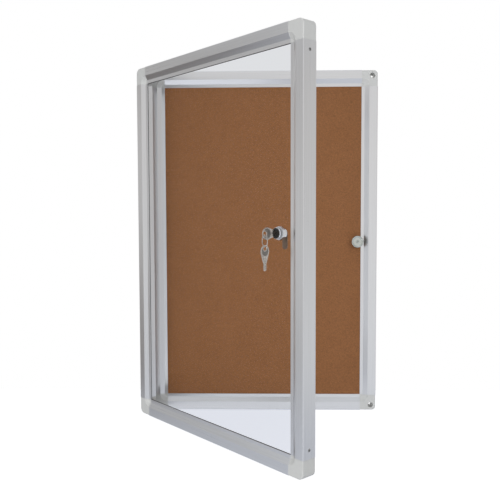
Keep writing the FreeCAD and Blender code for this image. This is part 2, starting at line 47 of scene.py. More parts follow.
# Tone, a grey or a colour, from the side opposite the dark one at 0 to the dark side at 1.
DARK_SIDE = (-0.80, 0.42, -0.43)
ROOM_TONES = [(0.06, 0.68), (0.12, 0.74), (0.19, 0.93), (0.25, 1.0), (0.36, 0.90),
              (0.50, 0.80), (0.655, 0.80), (0.70, 0.90), (0.76, 0.88), (0.80, 0.78),
              (0.85, 0.59), (0.88, 0.52), (0.905, 0.92), (0.93, 0.84), (0.95, 0.52),
              (0.965, (0.33, 0.30, 0.28)), (0.985, (0.06, 0.035, 0.02))]
# Tint from straight down at 0 to straight up at 1.
HEIGHT_TINTS = [(0.30, (0.95, 0.97, 1.0)), (0.48, (1.0, 1.0, 1.0)), (0.57, (1.0, 0.97, 0.945)),
                (0.625, (1.0, 0.97, 0.945)), (0.655, (0.92, 0.945, 0.985))]
# Dimmer patch, faded in between two cosines of the angle to its middle.
SCREEN_SIDE = (-0.925, 0.285, 0.25)
SCREEN_EDGE = (0.96, 0.985)
SCREEN_TONE = 0.72
# Backdrop behind the object, faded in between two Y parts of a direction.
BACKDROP_EDGE = (0.38, 0.68)
BACKDROP_TONE = (0.90, 0.87, 0.84)
# World's colour where the camera sees it directly and through the pane.
WHITE = (1.0, 1.0, 1.0)
PANE_TINT = (0.735, 0.745, 0.765)

# Floor, and the light added to it in what metal mirrors, to the camera and through the pane.
FLOOR_HEIGHT = -1.35
FLOOR_SIZE = 6.8
FLOOR_COLOUR = (0.785, 0.795, 0.82)
FLOOR_GLOSS = (0.175, 0.195, 0.24)
FLOOR_GLOW = (0.70, 0.70, 0.70)
FLOOR_GLOW_THROUGH_PANE = (0.385, 0.40, 0.445)

# Positions of a mix node's colour sockets.
MIX_FIRST, MIX_SECOND, MIX_RESULT = 6, 7, 2

# Values of a noise pattern between which a finish runs from its first to its second look.
NOISE_RANGE = (0.3, 0.7)
# Share by which a plain finish's roughness varies either way.
ROUGHNESS_SPREAD = 0.15
# Die lines of the extrusions, along the upright and the level sides.
ALONG_Z = (900, 900, 4)
ALONG_X = (4, 900, 900)
EXTRUDED_COLOURS = ((0.660, 0.664, 0.672), (0.740, 0.744, 0.754))
EXTRUDED_ROUGHNESS = (0.27, 0.35)
CORK_GRAIN = [(0.18, (0.208, 0.088, 0.035)), (0.40, (0.259, 0.110, 0.043)),
              (0.60, (0.285, 0.119, 0.044)), (0.82, (0.330, 0.144, 0.053))]
CORK_CLOUDS = [(0.3, (0.95, 0.94, 0.90)), (0.7, WHITE)]

MM = 0.001

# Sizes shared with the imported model, in millimetres and degrees.
HALF_WIDTH = 300.0
FRAME_DEPTH, DOOR_DEPTH, DOOR_FRONT = 20.0, 35.0, -56.0
HINGE_X, HINGE_Y, HINGE_Z = -303.0, -20.5, 300.0
LEAF_THICKNESS, LEAF_SCREW_SETBACK, LEAF_SCREW_SPACING = 1.5, 9.5, 36.0
CORNER_SCREW_Z = 390.4
# Lock, from its own axis and the door's front face.
LOCK_X, LOCK_Z = 218.0, 37.5
PANE_FRONT, PANE_REAR, WASHER = 8.9, 11.9, 0.8
BEZEL_FRONT, BEZEL_RADIUS = 3.9, 11.5
BARREL_RADIUS, BARREL_HALF_FLATS, BARREL_REAR = 9.0, 8.0, 29.0
PLUG_HEAD_RADIUS, PLUG_RADIUS, PLUG_TAIL = 7.5, 6.0, 4.0
KEYWAY_WIDTH, KEYWAY_HEIGHT = 2.1, 8.4
NUT_ACROSS_FLATS, NUT_THICKNESS = 25.0, 8.5
CAM_FRONT, CAM_REAR = 29.85, 31.85
CAM_WIDTH, CAM_LENGTH, CAM_SOCKET = 14.0, 33.5, 4.1
# Keys and ring.
KEY_THICKNESS, KEY_BOW_RADIUS, KEY_BOW_LENGTH = 1.8, 12.5, 36.0
KEY_NECK, KEY_BLADE, KEY_BLADE_LENGTH, KEY_NOTCH_PITCH = 10.0, 8.0, 16.0, 3.6
KEY_HOLE_INSET, KEY_SHOULDER = 6.7, 3.8
RING_RADIUS, RING_Z, RING_TURN = 12.0, 23.15, -17.0
SPARE_Z, SPARE_TURN = 8.15, 8.0
# Keeper.
KEEPER_X, KEEPER_Z, KEEPER_RADIUS, KEEPER_STEM = 248.0, 2.5, 16.0, 7.0
KEEPER_CAM_GAP, KEEPER_HEAD, KEEPER_DISH, KEEPER_REAR = 0.6, 4.0, 1.4, -8.9

# Detail added here, in millimetres and degrees.
# Countersunk screws: radius of the head and of the shank, length.
CORNER_SCREW = (3.8, 2.1, 9.0)
HINGE_SCREW = (3.0, 1.5, 7.0)
KEEPER_SCREW = (3.95, 2.0, 20.0)
SCREW_TURNS = (12, 55, 31, 74, 20, 63)
KEEPER_SCREW_TURN = 25
# Domed screw: radius and height of the head, radius of the shank, length.
CAM_SCREW = (5.0, 2.4, 2.0, 8.0)
BEZEL_BORE, FACE_RADIUS, FACE_DEPTH, RIM_FRONT = 7.75, 10.9, 1.3, BEZEL_FRONT + 0.8
THREAD_DEPTH, THREAD_PITCH, BARREL_BORE = 0.55, 1.25, 6.1
WASHER_BORE, FRONT_WASHER_RADIUS, REAR_WASHER_RADIUS = 9.3, 10.8, 13.5
NUT_BORE, NUT_MOUTH, NUT_FACE, NUT_SHOULDER = 9.1, 10.0, 12.2, 12.7
PLUG_HEAD_REAR, PLUG_GAP = BEZEL_FRONT + 1.6, 0.05
# Key cuts: depths, half of a cut's width at its mouth and at its floor.
KEY_CUTS = (0.9, 0.55, 0.75)
KEY_CUT_MOUTH, KEY_CUT_FLOOR = 1.0, 0.25
KEY_TIP_LENGTH, KEY_TIP_HALF = 2.2, 1.7
# A key's hole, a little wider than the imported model's, and its lead-in bevel.
KEY_HOLE_RADIUS, KEY_HOLE_BEVEL = 4.3, 0.7
KEY_CHAMFER = 0.3
KEY_FIELD_DEPTH, KEY_GROOVE_DEPTH = 0.28, 0.42
KEY_GROOVE_X, KEY_GROOVE_Y = (-11.5, 20), (0.35, 1.75)
# Radius of a key's sunk field and of the boss round its hole, thickness of the disc.
KEY_FIELD_CUTTER = (9.6, 6.3, 1.0)
# The floor discs are rougher and darker: a duller finish, and painted shade in the sunk fields.
KEY_FIELD_FLOOR = (9.5, 6.4, 0.06)
RING_WIRE_WIDTH, RING_WIRE_HEIGHT, RING_SPLIT_TURN = 0.76, 1.4, 140
# Steps round the lock's smooth rings, and round the nut and the keeper.
RING_STEPS, NUT_STEPS = 64, 72
# Edge of the thin discs that cut a key's fields or fill them, and distance below which a
# plate's points are one.
DISC_EDGE, MERGE_DISTANCE = 0.02, 0.001
# Turn between two faces above which their edge stays crisp, on the pieces made here.
CRISP_ANGLE = 32.0
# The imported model's own pieces: width of their rounded edges, least turn of an edge that is
# rounded, and distance in metres below which points are one.
CORNER_EDGE, METAL_EDGE, GASKET_EDGE = 0.45, 0.3, 0.2
ROUNDED_ANGLE = 28.0
WELD_DISTANCE = 0.00001


def set_values(made, **values):
    """Sets a node's inputs by name, with spaces written as underscores, or its properties."""
    for key, value in values.items():
        socket = made.inputs.get(key.replace("_", " "))
        if socket is not None:
            socket.default_value = value
        else:
            setattr(made, key, value)


def node(tree, kind, **values):
    made = tree.nodes.new(kind)
    set_values(made, **values)
    return made


def feed(tree, value, socket):
    """Links an output to a socket, or sets the socket to a plain value."""
    if isinstance(value, bpy.types.NodeSocket):
        tree.links.new(value, socket)
    else:
        socket.default_value = value


def shader_tree(name):
    material = bpy.data.materials.new(name)
    material.use_nodes = True
    nodes = material.node_tree.nodes
    return material, material.node_tree, nodes["Principled BSDF"], nodes["Material Output"]


def stretched(tree, scale, turn=0.0):
    """Object coordinates, turned about Z and scaled along each axis."""
    vector = node(tree, "ShaderNodeTexCoord").outputs["Object"]
    for values in ({"Rotation": (0, 0, turn)}, {"Scale": scale}):
        mapping = node(tree, "ShaderNodeMapping", **values)
        tree.links.new(vector, mapping.inputs["Vector"])
        vector = mapping.outputs["Vector"]
    return vector


def noise(tree, vector, detail, scale=1.0, roughness=0.5):
    made = node(tree, "ShaderNodeTexNoise", Scale=scale, Detail=detail, Roughness=roughness)
    tree.links.new(vector, made.inputs["Vector"])
    return made.outputs["Fac"]


def ramp(tree, factor, stops):
    """Colour ramp through (position, colour) stops, where a colour may be one grey number."""
    made = node(tree, "ShaderNodeValToRGB")
    elements = made.color_ramp.elements
    while len(elements) < len(stops):
        elements.new(0.5)
    for element, (position, colour) in zip(elements, stops):
        element.position = position
        rgb = (colour,) * 3 if isinstance(colour, float) else colour
        element.color = (*rgb, 1)
    tree.links.new(factor, made.inputs["Fac"])
    return made.outputs["Color"]


def mixed(tree, factor, first, second, blend="MIX"):
    """Colour mixed from two, each an output or (r, g, b, a)."""
    made = node(tree, "ShaderNodeMix", data_type="RGBA", blend_type=blend)
    feed(tree, factor, made.inputs["Factor"])
    feed(tree, first, made.inputs[MIX_FIRST])
    feed(tree, second, made.inputs[MIX_SECOND])
    return made.outputs[MIX_RESULT]


def by_ray(tree, ray, others, shader):
    """The second shader for one kind of ray and the first for all others."""
    path = node(tree, "ShaderNodeLightPath")
    mix = node(tree, "ShaderNodeMixShader")
    tree.links.new(path.outputs[ray], mix.inputs["Fac"])
    tree.links.new(others, mix.inputs[1])
    tree.links.new(shader, mix.inputs[2])
    return mix.outputs["Shader"]


def bump(tree, height, strength, distance, shader):
    made = node(tree, "ShaderNodeBump", Strength=strength, Distance=distance)
    tree.links.new(height, made.inputs["Height"])
    tree.links.new(made.outputs["Normal"], shader.inputs["Normal"])


def varied(tree, shader, pattern, colours, roughnesses):
    """Runs the colour and the roughness between two values each, as the pattern does."""
    for values, socket in ((colours, "Base Color"), (roughnesses, "Roughness")):
        look = ramp(tree, pattern, list(zip(NOISE_RANGE, values)))
        tree.links.new(look, shader.inputs[socket])


def extruded(name, scale, turn=0.0):
    """Satin anodised aluminium with fine die lines along its length."""
    material, tree, shader, _ = shader_tree(name)
    set_values(shader, Metallic=1.0)
    lines = noise(tree, stretched(tree, scale, turn), 4.0, roughness=0.65)
    varied(tree, shader, lines, EXTRUDED_COLOURS, EXTRUDED_ROUGHNESS)
    bump(tree, lines, 0.20, 0.00003, shader)
    return material


def plain(name, colour, metallic, roughness, grain=900.0, spread=0.06, depth=0.00002):
    """A finish whose tone and roughness vary a little over the surface."""
    material, tree, shader, _ = shader_tree(name)
    set_values(shader, Metallic=metallic)
    speck = noise(tree, stretched(tree, (1, 1, 1)), 3.0, grain)
    dark = tuple(c * (1 - spread) for c in colour)
    light = tuple(min(1.0, c * (1 + spread)) for c in colour)
    varied(tree, shader, speck, (dark, light),
           (roughness * (1 - ROUGHNESS_SPREAD), roughness * (1 + ROUGHNESS_SPREAD)))
    bump(tree, speck, 0.3, depth, shader)
    return material


def cork_material():
    """Fine agglomerated cork: small granules, darker specks and faint wide clouds."""
    material, tree, shader, _ = shader_tree("cork")
    place = stretched(tree, (1, 1, 1))
    cells = node(tree, "ShaderNodeTexVoronoi", Scale=520.0, Randomness=1.0)
    tree.links.new(place, cells.inputs["Vector"])
    grain = noise(tree, place, 4.0, 300.0, 0.65)
    cloud = noise(tree, place, 3.0, 16.0)
    tone = node(tree, "ShaderNodeSeparateColor")
    tree.links.new(cells.outputs["Color"], tone.inputs["Color"])
    blend = node(tree, "ShaderNodeMix", data_type="FLOAT", Factor=0.5)
    tree.links.new(tone.outputs["Red"], blend.inputs["A"])
    tree.links.new(grain, blend.inputs["B"])
    granules = blend.outputs["Result"]
    colour = mixed(tree, 1.0, ramp(tree, granules, CORK_GRAIN), ramp(tree, cloud, CORK_CLOUDS),
                   "MULTIPLY")
    tree.links.new(colour, shader.inputs["Base Color"])
    set_values(shader, Roughness=0.9)
    bump(tree, granules, 0.6, 0.0003, shader)
    return material


def pane_material():
    """Clear glazing that hardly bends or mirrors, with shadow rays passed straight through."""
    material, tree, shader, output = shader_tree("pane_glass")
    set_values(shader, Base_Color=(0.995, 0.997, 1.0, 1), Roughness=0.0, IOR=1.05,
               Transmission_Weight=1.0)
    clear = node(tree, "ShaderNodeBsdfTransparent", Color=(0.97, 0.98, 0.99, 1))
    surface = by_ray(tree, "Is Shadow Ray", shader.outputs["BSDF"], clear.outputs["BSDF"])
    tree.links.new(surface, output.inputs["Surface"])
    return material


def paint(obj, material):
    obj.data.materials.clear()
    obj.data.materials.append(material)


def turns(steps):
    """Angles of a full circle's steps."""
    return [2 * math.pi * i / steps for i in range(steps)]


def circle(radius, x, steps=40):
    """Closed outline about a point on the X axis."""
    return [Vector((x + radius * math.cos(t), radius * math.sin(t))) for t in turns(steps)]


def rounded(points, steps=4):
    """Closed outline of (a, b, radius) corners as (a, b) points."""
    outline = []
    for i, (a, b, radius) in enumerate(points):
        corner = Vector((a, b))
        if radius == 0:
            outline.append(corner)
            continue
        back = (Vector(points[i - 1][:2]) - corner).normalized()
        ahead = (Vector(points[(i + 1) % len(points)][:2]) - corner).normalized()
        half = back.angle(ahead) / 2
        centre = corner + (back + ahead).normalized() * radius / math.sin(half)
        start = corner + back * radius / math.tan(half) - centre
        end = corner + ahead * radius / math.tan(half) - centre
        for step in range(steps + 1):
            outline.append(centre + start.lerp(end, step / steps).normalized() * radius)
    return outline


def rectangle(a_range, b_range, radius, steps=4):
    """Closed outline of a rectangle with rounded corners."""
    (a0, a1), (b0, b1) = a_range, b_range
    return rounded([(a0, b0, radius), (a1, b0, radius), (a1, b1, radius), (a0, b1, radius)],
                   steps)


def bridged(rings, closed=False, capped=False):
    """Shape of faces between rings of points, each ring closed on itself. The last ring may
    join the first, or faces may cap both ends. One point closes an end too."""
    shape = bmesh.new()
    made = [[shape.verts.new(point) for point in ring] for ring in rings]
    if capped:
        shape.faces.new(made[0])
        shape.faces.new(made[-1])
    steps = max(len(ring) for ring in made)
    pairs = list(zip(made, made[1:])) + ([(made[-1], made[0])] if closed else [])
    for first, second in pairs:
        for i in range(steps):
            j = (i + 1) % steps
            corners = [first[i % len(first)], first[j % len(first)],
                       second[j % len(second)], second[i % len(second)]]
            corners = list(dict.fromkeys(corners))
            if len(corners) > 2:
                shape.faces.new(corners)
    return shape


def turned(profile, steps=48, closed=False):
    """Surface of revolution about the Y axis through (radius, y) points."""
    rings = [[(radius * math.cos(t), y, radius * math.sin(t))
              for t in turns(steps if radius > 0 else 1)] for radius, y in profile]
    return bridged(rings, closed)


def threaded(start, end):
    """The barrel's threaded tube along Y with two flats."""
    around, per_turn = 48, 6
    count = int((end - start) / THREAD_PITCH * per_turn)
    bore = [(BARREL_BORE * math.cos(t), start, BARREL_BORE * math.sin(t)) for t in turns(around)]
    rings = [bore]
    for k in range(count + 1):
        y = start + (end - start) * k / count
        ring = []
        for i, t in enumerate(turns(around)):
            phase = (y / THREAD_PITCH - i / around) % 1.0
            radius = BARREL_RADIUS - THREAD_DEPTH * abs(2 * phase - 1)
            x = max(-BARREL_HALF_FLATS, min(BARREL_HALF_FLATS, radius * math.cos(t)))
            ring.append((x, y, radius * math.sin(t)))
        rings.append(ring)
    rings.append([(x, end, z) for x, _, z in bore])
    return bridged(rings, closed=True)


def mesh_of(shape, name="shape"):
    """Mesh made from a shape, which is freed."""
    mesh = bpy.data.meshes.new(name)
    shape.to_mesh(mesh)
    shape.free()
    return mesh


def new_object(name, data):
    obj = bpy.data.objects.new(name, data)
    bpy.context.scene.collection.objects.link(obj)
    return obj


def moved(shape, matrix):
    bmesh.ops.transform(shape, matrix=matrix, verts=shape.verts)
    return shape


def plate(outlines, thickness, edge):
    """Flat plate in the X-Y plane with rounded edges, its first outline the outside and the
    others its holes."""
    curve = bpy.data.curves.new("outline", "CURVE")
    curve.dimensions = "2D"
    curve.fill_mode = "BOTH"
    curve.extrude = thickness / 2 - edge
    curve.bevel_depth = edge
    curve.bevel_resolution = 2
    curve.offset = -edge
    for outline in outlines:
        spline = curve.splines.new("POLY")
        spline.points.add(len(outline) - 1)
        for point, place in zip(spline.points, outline):
            point.co = (place[0], place[1], 0, 1)
        spline.use_cyclic_u = True
    holder = bpy.data.objects.new("outline", curve)
    shape = bmesh.new()
    shape.from_mesh(bpy.data.meshes.new_from_object(holder))
    bmesh.ops.remove_doubles(shape, verts=shape.verts, dist=MERGE_DISTANCE)
    bpy.data.objects.remove(holder)
    return shape


def as_object(shape):
    bmesh.ops.recalc_face_normals(shape, faces=shape.faces)
    return new_object("shape", mesh_of(shape))


def carved(shape, cutters, operation="DIFFERENCE"):
    """The shape less the cutters, or what it shares with them."""
    body = as_object(shape)
    tools = [as_object(cutter) for cutter in cutters]
    for tool in tools:
        change = body.modifiers.new("cut", "BOOLEAN")
        change.operation = operation
        change.solver = "EXACT"
        change.object = tool
    graph = bpy.context.evaluated_depsgraph_get()
    result = bmesh.new()
    result.from_mesh(bpy.data.meshes.new_from_object(body.evaluated_get(graph)))
    for obj in [body] + tools:
        bpy.data.objects.remove(obj)
    return result


def piece(name, shape, places, body, slot, replaced, material=None):
    """Object that stands for a CAD node, from a shape in millimetres put at one or more
    places. Its material is the slot's own, unless another is given."""
    whole = bmesh.new()
    for place in places if isinstance(places, list) else [places]:
        copy = moved(shape.copy(), place @ Matrix.Scale(MM, 4))
        whole.from_mesh(mesh_of(copy))
    bmesh.ops.recalc_face_normals(whole, faces=whole.faces)
    limit = math.radians(CRISP_ANGLE)
    for face in whole.faces:
        face.smooth = True
    for edge in whole.edges:
        edge.smooth = len(edge.link_faces) == 2 and edge.calc_face_angle() < limit
    obj = new_object(name, mesh_of(whole, name))
    paint(obj, material or by_slot[slot])
    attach(obj, body)
    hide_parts(replaced)


def soften(obj, width):
    """Rounded edges on a CAD node, as modifiers that leave its own mesh as it is."""
    weld = obj.modifiers.new("weld", "WELD")
    weld.merge_threshold = WELD_DISTANCE
    edge = obj.modifiers.new("edge", "BEVEL")
    edge.width = width * MM
    edge.segments = 2
    edge.limit_method = "ANGLE"
    edge.angle_limit = math.radians(ROUNDED_ANGLE)
    edge.use_clamp_overlap = True
    normals = obj.modifiers.new("normals", "WEIGHTED_NORMAL")
    normals.keep_sharp = False


def turn_about(axis, degrees):
    return Matrix.Rotation(math.radians(degrees), 4, axis)


def shifted(x, y, z):
    """Placement at a point given in millimetres."""
    return Matrix.Translation((x * MM, y * MM, z * MM))


def cross_cutter(reach, width, depth, tip):
    """Tapered cross-shaped cutters for a screw's recess, entering along +Y."""
    cutters = []
    for turn in (45, 135):
        spin = turn_about("Y", turn).to_3x3()
        top = [(-reach, -width), (reach, -width), (reach, width), (-reach, width)]
        rings = [[spin @ Vector((x * scale, y, z * (0.6 + 0.4 * scale))) for x, z in top]
                 for scale, y in ((1.0, -1.0), (1.0, 0.0), (tip, depth))]
        cutters.append(bridged(rings, capped=True))
    return cutters


def countersunk(head_radius, radius, length):
    """Countersunk screw with a low dome and a cross recess, its head's rim at Y = 0."""
    dome = 0.12 * head_radius
    profile = [(0, -dome), (0.4 * head_radius, -0.85 * dome), (0.75 * head_radius, -0.5 * dome),
               (head_radius - 0.15, -0.02), (head_radius, 0.12),
               (radius, head_radius - radius), (radius, length - radius), (0, length)]
    return carved(turned(profile), cross_cutter(0.70 * head_radius, 0.16 * head_radius,
                                                0.62 * head_radius, 0.25))


def pan_head(head_radius, height, radius, length):
    """Screw with a domed head standing proud along +Y of its seat at Y = 0."""
    profile = [(0, height), (0.45 * head_radius, 0.94 * height),
               (0.8 * head_radius, 0.66 * height), (head_radius, 0.22 * height),
               (head_radius, 0), (radius, 0), (radius, -length), (0, -length)]
    facing_in = Matrix.Translation((0, height, 0)) @ turn_about("X", 180)
    cutters = cross_cutter(0.6 * head_radius, 0.13 * head_radius, 0.7 * height, 0.3)
    return carved(turned(profile), [moved(cutter, facing_in) for cutter in cutters])


def split_ring():
    """Ring of two flat turns side by side, wound about the Y axis."""
    steps = 192
    half_height, half_width = RING_WIRE_HEIGHT / 2, RING_WIRE_WIDTH / 2
    section = rectangle((-half_height, half_height), (-half_width, half_width), 0.18, 2)
    rings = []
    for k in range(steps + 1):
        turn = 2 * k / steps
        # The wire crosses from one turn to the other near its middle and thins at both ends.
        cross = max(0.0, min(1.0, (turn - 0.94) / 0.12))
        shift = (cross * cross * (3 - 2 * cross) - 0.5) * (RING_WIRE_WIDTH + 0.03)
        taper = min(1.0, 0.45 + min(turn, 2 - turn) / 0.03)
        angle = 2 * math.pi * turn
        out = Vector((math.cos(angle), 0, math.sin(angle)))
        rings.append([out * (RING_RADIUS + a * taper) + Vector((0, shift + b, 0))
                      for a, b in section])
    return bridged(rings, capped=True)


def key_outline():
    """Outline of the flat key: X along the blade from its shoulder, Y across."""
    bow_x = KEY_BOW_RADIUS - KEY_BOW_LENGTH
    reach = math.hypot(bow_x, KEY_NECK / 2)
    lean = math.atan2(KEY_NECK / 2, -bow_x) + math.acos(KEY_BOW_RADIUS / reach)
    upper = [(-KEY_CHAMFER, KEY_NECK / 2), (0, KEY_NECK / 2 - KEY_CHAMFER), (0, KEY_BLADE / 2)]
    for i, depth in enumerate(KEY_CUTS):
        notch = KEY_NOTCH_PITCH * (i + 1)
        floor = KEY_BLADE / 2 - depth
        upper += [(notch - KEY_CUT_MOUTH, KEY_BLADE / 2), (notch - KEY_CUT_FLOOR, floor),
                  (notch + KEY_CUT_FLOOR, floor), (notch + KEY_CUT_MOUTH, KEY_BLADE / 2)]
    upper += [(KEY_BLADE_LENGTH - KEY_TIP_LENGTH, KEY_BLADE / 2),
              (KEY_BLADE_LENGTH, KEY_TIP_HALF)]
    lower = [(x, -y) for x, y in reversed(upper)]
    arc = []
    steps = 40
    for i in range(steps + 1):
        angle = -lean - (2 * math.pi - 2 * lean) * i / steps
        arc.append((bow_x + KEY_BOW_RADIUS * math.cos(angle), KEY_BOW_RADIUS * math.sin(angle)))
    return upper + lower + arc


def key_field(radius, boss, thickness):
    """Round field in the middle of a key's bow, less a boss round its hole."""
    disc = plate([circle(radius, KEY_BOW_RADIUS - KEY_BOW_LENGTH, 48)], thickness, DISC_EDGE)
    keep = plate([circle(boss, KEY_HOLE_INSET - KEY_BOW_LENGTH)], thickness + 1, DISC_EDGE)
    return carved(disc, [keep])


def upright_key(shape):
    """Turns a key's shape, flat in X-Y with its blade along +X, to have its blade along +Y."""
    return moved(shape, Matrix(((0, 0, 1), (1, 0, 0), (0, 1, 0))).to_4x4())


def key_dull_painted_shade_floors():
    """Floors of the sunk fields on both faces of a key: a duller finish, and painted shade."""
    both = bmesh.new()
    for side in (-1, 1):
        height = side * (KEY_THICKNESS / 2 - KEY_FIELD_DEPTH + 0.02)
        floor = moved(key_field(*KEY_FIELD_FLOOR), Matrix.Translation((0, 0, height)))
        both.from_mesh(mesh_of(floor))
    return upright_key(both)


def key_shape():
    """Flat key with its bow's bevelled hole, sunk fields and milled grooves, along +Y."""
    hole_x = KEY_HOLE_INSET - KEY_BOW_LENGTH
    body = plate([key_outline(), circle(KEY_HOLE_RADIUS, hole_x)], KEY_THICKNESS, 0.22)
    cutters = []
    for turn in (180, 0):
        spin = turn_about("X", turn)
        field = key_field(*KEY_FIELD_CUTTER)
        groove = plate([rectangle(KEY_GROOVE_X, KEY_GROOVE_Y, 0.5)], 1.0, 0.12)
        for cutter, depth in ((field, KEY_FIELD_DEPTH), (groove, KEY_GROOVE_DEPTH)):
            lift = Matrix.Translation((0, 0, KEY_THICKNESS / 2 + 0.5 - depth))
            cutters.append(moved(cutter, spin @ lift))
        bevel = turned([(0, -0.5), (KEY_HOLE_RADIUS - 0.4, -0.4), (KEY_HOLE_RADIUS + 1, 1),
                        (0, 1)], 40)
        lift = Matrix.Translation((hole_x, 0, KEY_THICKNESS / 2 - KEY_HOLE_BEVEL))
        cutters.append(moved(bevel, spin @ lift @ turn_about("X", 90)))
    return upright_key(carved(body, cutters))


def add_camera():
    data = bpy.data.cameras.new("camera")
    data.sensor_fit = "HORIZONTAL"
    data.sensor_width = SENSOR_WIDTH
    data.lens = SENSOR_WIDTH * FOCAL_OVER_WIDTH
    data.clip_start = CAMERA_NEAR
    camera = new_object("camera", data)
    sin_yaw, cos_yaw = math.sin(CAMERA_YAW), math.cos(CAMERA_YAW)
    sin_pitch, cos_pitch = math.sin(CAMERA_PITCH), math.cos(CAMERA_PITCH)
    ahead = Vector((cos_pitch * sin_yaw, cos_pitch * cos_yaw, -sin_pitch))
    level = Vector((cos_yaw, -sin_yaw, 0))
    upright = Vector((sin_pitch * sin_yaw, sin_pitch * cos_yaw, cos_pitch))
    right = level * math.cos(CAMERA_ROLL) + upright * math.sin(CAMERA_ROLL)
    up = upright * math.cos(CAMERA_ROLL) - level * math.sin(CAMERA_ROLL)
    turn = Matrix((right, up, -ahead)).transposed()
    camera.matrix_world = Matrix.Translation(CAMERA_PLACE) @ turn.to_4x4()
    bpy.context.scene.camera = camera


def add_lamps():
    for name, place, size, power in LAMPS:
        data = bpy.data.lights.new(name, "AREA")
        data.shape = "RECTANGLE"
        data.size, data.size_y = size
        data.energy = power
        lamp = new_object(name, data)
        lamp.location = place
        aim = Vector(LAMP_TARGET) - Vector(place)
        lamp.rotation_euler = aim.to_track_quat("-Z", "Y").to_euler()
        lamp.visible_glossy = False
        lamp.visible_transmission = False


def along(tree, direction, side):
    """How far a direction points to a side, from -1 to 1."""
    made = node(tree, "ShaderNodeVectorMath", operation="DOT_PRODUCT")
    made.inputs[1].default_value = side
    tree.links.new(direction, made.inputs[0])
    return made.outputs["Value"]


def remapped(tree, value, source, target=(0.0, 1.0)):
    """A value's place in the source range, held there and carried over to the target range."""
    made = node(tree, "ShaderNodeMapRange", From_Min=source[0], From_Max=source[1],
                To_Min=target[0], To_Max=target[1])
    tree.links.new(value, made.inputs["Value"])
    return made.outputs["Result"]


def room_colour(tree):
    """The room's colour by direction: tones round the dark side, tinted by height, dimmed by
    the screen and covered by the backdrop behind the object."""
    direction = node(tree, "ShaderNodeTexCoord").outputs["Generated"]
    parts = node(tree, "ShaderNodeSeparateXYZ")
    tree.links.new(direction, parts.inputs["Vector"])
    share = remapped(tree, along(tree, direction, DARK_SIDE), (-1, 1))
    height = remapped(tree, parts.outputs["Z"], (-1, 1))
    tint = node(tree, "ShaderNodeVectorMath", operation="MULTIPLY")
    tree.links.new(ramp(tree, share, ROOM_TONES), tint.inputs[0])
    tree.links.new(ramp(tree, height, HEIGHT_TINTS), tint.inputs[1])
    dimming = remapped(tree, along(tree, direction, SCREEN_SIDE), SCREEN_EDGE,
                       (1.0, SCREEN_TONE))
    screened = node(tree, "ShaderNodeVectorMath", operation="SCALE")
    tree.links.new(tint.outputs["Vector"], screened.inputs[0])
    tree.links.new(dimming, screened.inputs["Scale"])
    behind = remapped(tree, parts.outputs["Y"], BACKDROP_EDGE)
    return mixed(tree, behind, screened.outputs["Vector"], (*BACKDROP_TONE, 1))


def background(tree, colour, strength):
    light = node(tree, "ShaderNodeBackground", Strength=strength)
    feed(tree, colour, light.inputs["Color"])
    return light.outputs["Background"]


def add_world():
    """The room as light and in what metal mirrors. The camera sees plain white instead, a
    little greyed through the pane."""
    world = bpy.data.worlds.new("studio")
    bpy.context.scene.world = world
    world.use_nodes = True
    tree = world.node_tree
    tree.nodes.clear()
    room = room_colour(tree)
    surface = background(tree, room, AMBIENT)
    for ray, colour in (("Is Glossy Ray", room), ("Is Camera Ray", (*WHITE, 1)),
                        ("Is Transmission Ray", (*PANE_TINT, 1))):
        surface = by_ray(tree, ray, surface, background(tree, colour, 1.0))
    output = node(tree, "ShaderNodeOutputWorld")
    tree.links.new(surface, output.inputs["Surface"])


def add_floor():
    """Plain pale floor, lit as the object is, with light added for some kinds of ray."""
    mesh = bpy.data.meshes.new("floor")
    half = FLOOR_SIZE / 2
    mesh.from_pydata([(x, y, FLOOR_HEIGHT) for x, y in ((-half, -half), (half, -half),
                                                        (half, half), (-half, half))],
                     [], [(0, 1, 2, 3)])
    floor = new_object("floor", mesh)
    material, tree, shader, output = shader_tree("pale_floor")
    set_values(shader, Base_Color=(*FLOOR_COLOUR, 1), Roughness=0.9)
    surface = shader.outputs["BSDF"]
    for ray, colour in (("Is Glossy Ray", FLOOR_GLOSS), ("Is Camera Ray", FLOOR_GLOW),
                        ("Is Transmission Ray", FLOOR_GLOW_THROUGH_PANE)):
        glow = node(tree, "ShaderNodeEmission", Color=(*colour, 1), Strength=1.0)
        both = node(tree, "ShaderNodeAddShader")
        tree.links.new(shader.outputs["BSDF"], both.inputs[0])
        tree.links.new(glow.outputs["Emission"], both.inputs[1])
        surface = by_ray(tree, ray, surface, both.outputs["Shader"])
    tree.links.new(surface, output.inputs["Surface"])
    paint(floor, material)


def add_screws():
    """Cross-recessed screws in the stiles and the hinge leaves."""
    corner, hinge = countersunk(*CORNER_SCREW), countersunk(*HINGE_SCREW)
    four = [(-1, -1), (-1, 1), (1, -1), (1, 1)]
    for owner, y, carrier in (("frame", -FRAME_DEPTH / 2, Matrix()),
                              ("door", DOOR_FRONT + DOOR_DEPTH / 2, DOOR)):
        places = [carrier @ shifted(side * HALF_WIDTH, y, end * CORNER_SCREW_Z)
                  @ turn_about("Z", side * 90) @ turn_about("Y", turn)
                  for (side, end), turn in zip(four, SCREW_TURNS)]
        name = owner + "_corner_screws"
        piece(name + "_detail", corner, places, owner, "screw_steel", name)
    for owner, towards, carrier in (("frame", 1, Matrix()), ("door", -1, DOOR)):
        places = [carrier @ shifted(-HALF_WIDTH - LEAF_THICKNESS,
                                    HINGE_Y + towards * LEAF_SCREW_SETBACK,
                                    side * HINGE_Z + end * LEAF_SCREW_SPACING / 2)
                  @ turn_about("Z", -90) @ turn_about("Y", turn)
                  for (side, end), turn in zip(four, SCREW_TURNS[2:])]
        name = "hinge_" + owner + "_screws"
        piece(name + "_detail", hinge, places, owner, "screw_steel", name)


